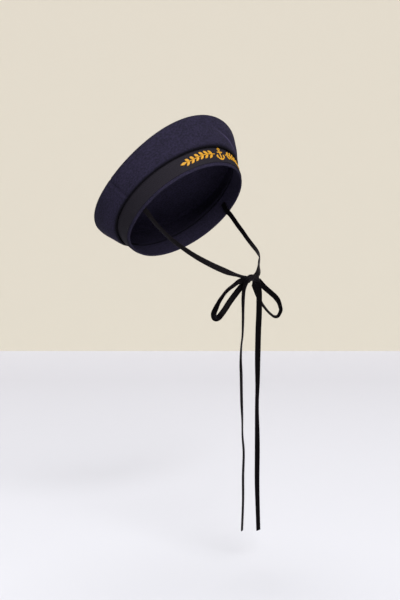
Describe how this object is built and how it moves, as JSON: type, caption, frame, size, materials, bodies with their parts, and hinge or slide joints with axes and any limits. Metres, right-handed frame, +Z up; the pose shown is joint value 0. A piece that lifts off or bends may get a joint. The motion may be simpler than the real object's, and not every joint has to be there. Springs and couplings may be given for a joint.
{
  "type": "sailor cap with chin tie",
  "caption": "Soft navy cloth sailor cap with a flared crown, a black ribbon round the band and a ribbon chin tie knotted in a bow, held in its worn form.",
  "frame": {"origin": "centre of the head opening, at the lower edge of the band, where a head holds the cap", "axes": "+Z up as worn, the wearer's front towards -Y, the wearer's left towards +X; the cap leans back 43 degrees about X"},
  "size_m": [0.2232, 0.266, 0.5687],
  "materials": {
    "navy_wool": "matt milled wool cloth, fine twill, soft nap",
    "navy_band": "matt wool cloth folded under at the lower edge",
    "black_grosgrain": "ribbed grosgrain ribbon with a slight sheen",
    "black_velvet": "flat velvet ribbon, black, with a soft sheen at grazing angles"
  },
  "bodies": {
    "root": {"crown_top": "navy_wool", "crown_side_front": "navy_wool", "crown_side_back": "navy_wool", "headband": "navy_band", "tally_ribbon": "black_grosgrain", "tie_right": "black_velvet", "tie_left": "black_velvet", "bow_knot": "black_velvet", "bow_loop_right": "black_velvet", "bow_loop_left": "black_velvet", "tail_right": "black_velvet", "tail_left": "black_velvet"}
  },
  "joints": []
}
